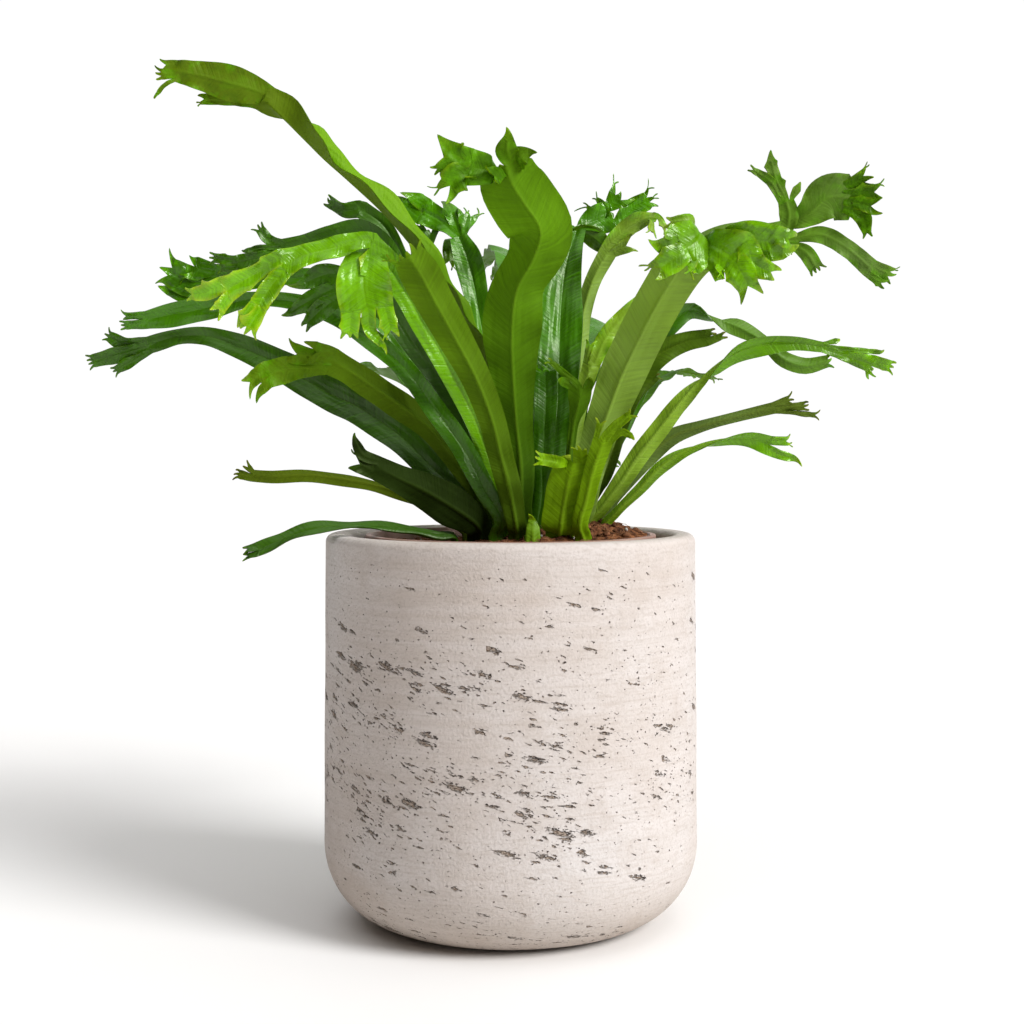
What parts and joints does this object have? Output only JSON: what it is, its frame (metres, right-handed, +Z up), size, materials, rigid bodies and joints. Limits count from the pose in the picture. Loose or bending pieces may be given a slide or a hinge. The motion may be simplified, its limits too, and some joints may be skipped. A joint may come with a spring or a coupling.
{
  "type": "potted bird's nest fern",
  "caption": "Crested bird's nest fern whose long strap fronds fork into frilled, fingered tips, growing in a round cover pot of pale pitted concrete.",
  "frame": {"origin": "centre of the cover pot's flat underside", "axes": "+Z up the pot's axis, -Y towards the viewer of the picture, +X to the viewer's right"},
  "size_m": [0.3773, 0.2942, 0.3674],
  "materials": {
    "pot": "matte, pitted and washed",
    "growing_pot": "satin",
    "soil": "rough, fibrous",
    "leaf_olive": "satin",
    "leaf_pale": "satin",
    "leaf_glossy": "glossy",
    "leaf_bright": "glossy",
    "leaf_dark": "satin",
    "leaf_brown": "satin",
    "leaf_deep": "satin",
    "leaf_young": "satin"
  },
  "bodies": {
    "root": {"pot": "pot", "growing_pot": "growing_pot", "soil": "soil", "frond_01_long_left": "leaf_olive", "frond_02_middle_tall": "leaf_olive", "frond_03_back_glossy": "leaf_glossy", "frond_04_right_wide": "leaf_pale", "frond_05_front_left": "leaf_olive", "frond_06_bright_left": "leaf_bright", "frond_07_low_left": "leaf_dark", "frond_08_olive_crest": "leaf_olive", "frond_09_upper_left": "leaf_dark", "frond_10_star_left": "leaf_dark", "frond_11_thin_olive": "leaf_brown", "frond_12_wide_low": "leaf_deep", "frond_13_over_the_rim": "leaf_dark", "frond_14_antler_right": "leaf_olive", "frond_15_narrow_hook": "leaf_pale", "frond_16_long_right": "leaf_pale", "frond_17_olive_right": "leaf_brown", "frond_18_lowest_right": "leaf_bright", "frond_19_dark_right": "leaf_brown", "frond_20_small_right": "leaf_brown", "frond_21_front_short": "leaf_young", "frond_22_front_curly": "leaf_young", "frond_23_hanging_tip": "leaf_olive", "frond_24_young_short": "leaf_bright", "frond_25_glossy_left": "leaf_glossy", "frond_26_far_left": "leaf_glossy", "frond_27_green_left": "leaf_glossy", "frond_28_narrow_right": "leaf_pale", "frond_29_blunt_glossy": "leaf_glossy", "frond_30_behind_right": "leaf_glossy", "frond_31_curled_tip": "leaf_dark", "frond_32_dark_stalk": "leaf_dark", "frond_33_rear": "leaf_glossy", "frond_34_rear": "leaf_olive", "frond_35_rear": "leaf_dark", "frond_36_rear": "leaf_glossy", "frond_37_rear": "leaf_glossy", "frond_38_rear": "leaf_olive", "frond_39_rear": "leaf_dark", "frond_40_rear": "leaf_glossy"}
  },
  "joints": []
}
